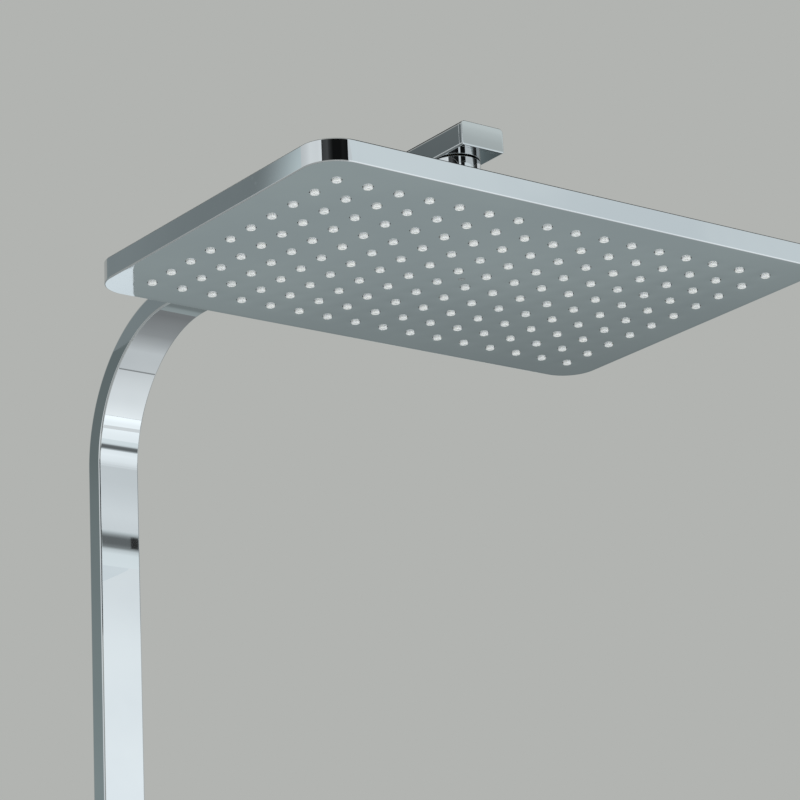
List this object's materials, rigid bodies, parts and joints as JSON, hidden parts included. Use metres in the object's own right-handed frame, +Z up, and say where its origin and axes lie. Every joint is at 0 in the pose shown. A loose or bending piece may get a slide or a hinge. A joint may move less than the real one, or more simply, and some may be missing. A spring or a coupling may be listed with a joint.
{
  "type": "thermostatic rain shower",
  "caption": "Wall-mounted rain shower: rectangular overhead spray on a ball joint, bent flat riser, wall bracket and exposed thermostatic bar valve with diverter",
  "frame": {"origin": "on the finished wall, midway between the centres of the two supply studs", "axes": "+X to the right along the wall, +Y into the wall, +Z up; the spray head stands out towards -Y"},
  "size_m": [0.35, 0.6, 1.0895],
  "materials": {
    "polished_chrome": "polished chrome plate on brass or steel",
    "chromed_plastic": "chrome plate on moulded plastic",
    "steel": "bare stainless steel",
    "bare_brass": "machined brass",
    "copper": "drawn copper",
    "silicone": "milky translucent silicone",
    "black_rubber": "black nitrile rubber",
    "grey_plastic": "moulded engineering plastic",
    "white_plastic": "moulded acetal",
    "red_plastic": "glossy red moulding",
    "ceramic": "lapped alumina ceramic"
  },
  "bodies": {
    "wall_set": {"ball_stem": "polished_chrome", "swivel_nut": "polished_chrome", "joint_washer": "black_rubber", "outlet_nipple": "bare_brass", "flow_regulator": "white_plastic", "riser_arm": "polished_chrome", "arm_end_cap": "polished_chrome", "riser_foot": "bare_brass", "foot_o_rings": "black_rubber", "riser_collar": "polished_chrome", "bracket_spigot": "steel", "bracket_screw": "steel", "wall_plug": "grey_plastic", "bracket_post": "polished_chrome", "grub_screws": "steel", "wall_unions": "bare_brass", "escutcheons": "polished_chrome", "union_nuts": "polished_chrome", "union_washers": "black_rubber", "inlet_tails": "bare_brass", "check_cages": "white_plastic", "hot_poppet_spring": "steel", "cold_poppet_spring": "steel", "valve_body": "polished_chrome", "hose_outlet": "polished_chrome", "cartridge_nuts": "bare_brass", "cartridge_sleeve": "grey_plastic", "cartridge_o_rings": "black_rubber", "return_spring": "steel", "stop_ring": "white_plastic", "diverter_sleeve": "grey_plastic", "fixed_disc": "ceramic"},
    "joint_ring": {"slip_ring": "white_plastic"},
    "joint_seat": {"ball_seat": "black_rubber"},
    "rain_head": {"head_face": "polished_chrome", "nozzle_mat": "silicone", "water_plate": "grey_plastic", "chamber_seal": "black_rubber", "plate_screws": "steel", "centre_screw": "steel", "head_cover": "polished_chrome", "ball_socket": "polished_chrome", "ball_cap": "polished_chrome"},
    "temperature_control": {"temperature_handle": "chromed_plastic", "regulating_spindle": "bare_brass", "temperature_screw": "steel", "temperature_cap": "chromed_plastic", "button_spring": "steel"},
    "safety_catch": {"safety_button": "red_plastic"},
    "thermostat": {"push_nut": "bare_brass", "wax_element": "copper", "shuttle": "white_plastic"},
    "diverter_control": {"diverter_handle": "chromed_plastic", "diverter_spindle": "bare_brass", "diverter_screw": "steel", "diverter_cap": "chromed_plastic", "moving_disc": "ceramic"},
    "hot_check": {"hot_poppet": "white_plastic"},
    "cold_check": {"cold_poppet": "white_plastic"}
  },
  "joints": [
    {"name": "head_tilt_side", "type": "hinge", "parent": "wall_set", "child": "joint_ring", "pos_m": [0, -0.445, 0.9965], "axis": [0, 1, 0], "range_deg": [-10, 10]},
    {"name": "head_tilt_front", "type": "hinge", "parent": "joint_ring", "child": "joint_seat", "pos_m": [0, -0.445, 0.9965], "axis": [1, 0, 0], "range_deg": [-10, 10]},
    {"name": "head_swivel", "type": "hinge", "parent": "joint_seat", "child": "rain_head", "pos_m": [0, -0.445, 0.9965], "axis": [0, 0, 1], "continuous": true},
    {"name": "temperature_turn", "type": "hinge", "parent": "wall_set", "child": "temperature_control", "pos_m": [0.14, -0.065, -0.008], "axis": [1, 0, 0], "range_deg": [-180, 0]},
    {"name": "safety_press", "type": "slide", "parent": "temperature_control", "child": "safety_catch", "axis": [0, 1, 0], "range_m": [0, 0.003], "stiffness_N_per_m": 1500, "springref_m": -0.002, "deforming": ["button_spring"]},
    {"name": "thermostat_travel", "type": "slide", "parent": "wall_set", "child": "thermostat", "axis": [1, 0, 0], "range_m": [-0.0026, 0], "deforming": ["return_spring"]},
    {"name": "diverter_turn", "type": "hinge", "parent": "wall_set", "child": "diverter_control", "pos_m": [-0.14, -0.065, -0.008], "axis": [-1, 0, 0], "range_deg": [-90, 90]},
    {"name": "hot_check_lift", "type": "slide", "parent": "wall_set", "child": "hot_check", "axis": [0, -1, 0], "range_m": [0, 0.0025], "stiffness_N_per_m": 60, "springref_m": -0.002, "deforming": ["hot_poppet_spring"]},
    {"name": "cold_check_lift", "type": "slide", "parent": "wall_set", "child": "cold_check", "axis": [0, -1, 0], "range_m": [0, 0.0025], "stiffness_N_per_m": 60, "springref_m": -0.002, "deforming": ["cold_poppet_spring"]}
  ],
  "couplings": [
    {"joint": "thermostat_travel", "follows": "temperature_turn", "m_per_rad": 0.00079577}
  ]
}
